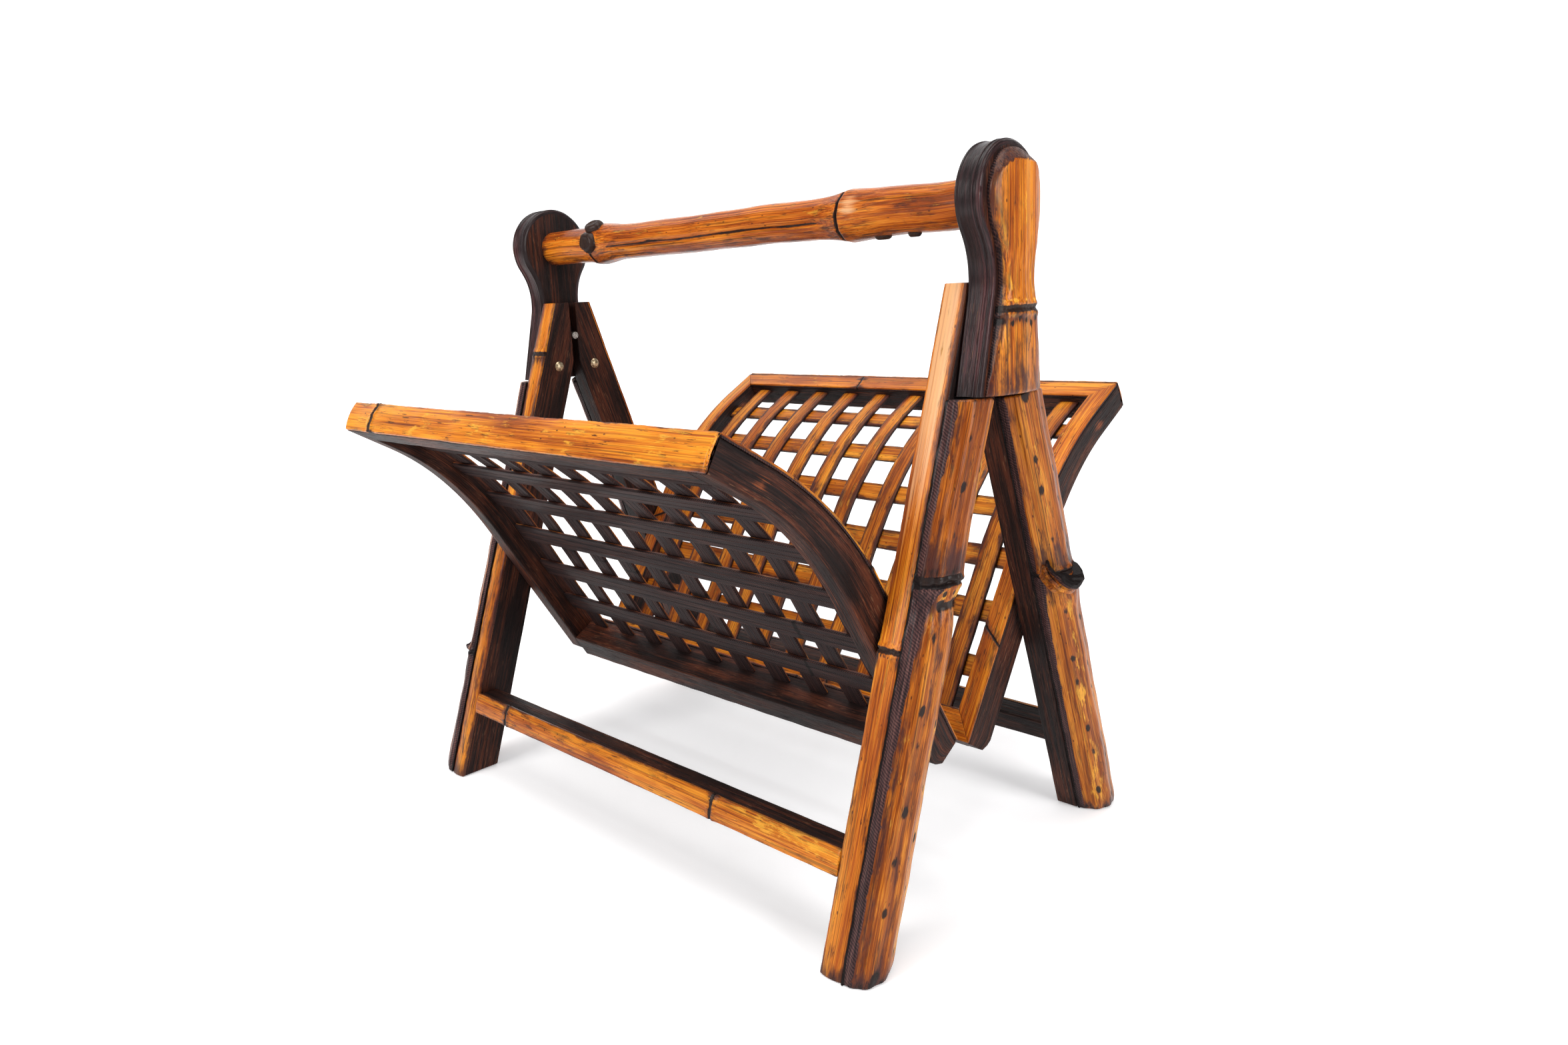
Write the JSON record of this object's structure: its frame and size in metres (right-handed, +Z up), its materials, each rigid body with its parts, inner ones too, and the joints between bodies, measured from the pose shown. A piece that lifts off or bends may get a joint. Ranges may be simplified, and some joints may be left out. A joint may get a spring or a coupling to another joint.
{
  "type": "magazine rack",
  "caption": "Folding bamboo magazine rack: two curved lattice panels form a V between hinged legs, with a pole handle between shaped posts.",
  "frame": {"origin": "on the floor, midway between the left and right legs and midway between the front and rear lips", "axes": "+X along the handle to the right, +Z up, -Y is the front"},
  "size_m": [0.458, 0.4006, 0.4308],
  "materials": {
    "bamboo_pole": "glossy varnish",
    "bamboo_face": "glossy varnish",
    "bamboo_culm": "glossy varnish",
    "bamboo_strip": "glossy varnish",
    "bamboo_slat": "glossy varnish",
    "dark_wood": "dark stain under varnish",
    "band_dark_wood": "dark stain under varnish",
    "rivet_brass": "dull, aged",
    "pin_steel": "aged"
  },
  "bodies": {
    "front_legs": {"front_left_leg_board": "dark_wood", "front_left_leg_culm": "bamboo_culm", "front_left_leg_strip": "bamboo_strip", "front_left_panel_pin": "pin_steel", "front_right_leg_board": "dark_wood", "front_right_leg_culm": "bamboo_culm", "front_right_leg_strip": "bamboo_strip", "front_right_panel_pin": "pin_steel", "front_stretcher_core": "dark_wood", "front_stretcher_face": "bamboo_strip"},
    "front_panel": {"front_panel_bottom_rail": "dark_wood", "front_panel_bottom_strip": "bamboo_strip", "front_panel_cross_slats": "bamboo_slat", "front_panel_down_slats": "bamboo_slat", "front_panel_left_rail": "dark_wood", "front_panel_left_strip": "bamboo_strip", "front_panel_right_rail": "dark_wood", "front_panel_right_strip": "bamboo_strip", "front_panel_top_rail": "dark_wood", "front_panel_top_skin": "bamboo_strip", "front_panel_top_strip": "bamboo_strip"},
    "handle_frame": {"handle_pole": "bamboo_pole", "left_leg_rivets": "rivet_brass", "left_post_band": "band_dark_wood", "left_post_core": "dark_wood", "left_post_face": "bamboo_face", "left_stop_pin": "pin_steel", "right_leg_rivets": "rivet_brass", "right_post_band": "band_dark_wood", "right_post_core": "dark_wood", "right_post_face": "bamboo_face", "right_stop_pin": "pin_steel"},
    "rear_legs": {"rear_left_leg_board": "dark_wood", "rear_left_leg_culm": "bamboo_culm", "rear_left_leg_strip": "bamboo_strip", "rear_left_panel_pin": "pin_steel", "rear_right_leg_board": "dark_wood", "rear_right_leg_culm": "bamboo_culm", "rear_right_leg_strip": "bamboo_strip", "rear_right_panel_pin": "pin_steel", "rear_stretcher_core": "dark_wood", "rear_stretcher_face": "bamboo_strip"},
    "rear_panel": {"rear_panel_bottom_rail": "dark_wood", "rear_panel_bottom_strip": "bamboo_strip", "rear_panel_cross_slats": "bamboo_slat", "rear_panel_down_slats": "bamboo_slat", "rear_panel_left_rail": "dark_wood", "rear_panel_left_strip": "bamboo_strip", "rear_panel_right_rail": "dark_wood", "rear_panel_right_strip": "bamboo_strip", "rear_panel_top_rail": "dark_wood", "rear_panel_top_skin": "bamboo_strip", "rear_panel_top_strip": "bamboo_strip"}
  },
  "joints": [
    {"name": "front_legs_fold", "type": "hinge", "parent": "handle_frame", "child": "front_legs", "pos_m": [0, -0.0172, 0.308], "axis": [1, 0, 0], "range_deg": [0, 19]},
    {"name": "rear_legs_fold", "type": "hinge", "parent": "handle_frame", "child": "rear_legs", "pos_m": [0, 0.0172, 0.308], "axis": [1, 0, 0], "range_deg": [-19, 0]},
    {"name": "front_panel_swing", "type": "hinge", "parent": "front_legs", "child": "front_panel", "pos_m": [0, -0.06823, 0.16599], "axis": [1, 0, 0], "range_deg": [-48, 0]},
    {"name": "rear_panel_swing", "type": "hinge", "parent": "rear_legs", "child": "rear_panel", "pos_m": [0, 0.071, 0.15791], "axis": [1, 0, 0], "range_deg": [0, 50]}
  ],
  "couplings": [
    {"joint": "rear_legs_fold", "follows": "front_legs_fold", "ratio": -1},
    {"joint": "front_panel_swing", "follows": "front_legs_fold", "ratio": -2.52},
    {"joint": "rear_panel_swing", "follows": "front_legs_fold", "ratio": 2.62}
  ]
}
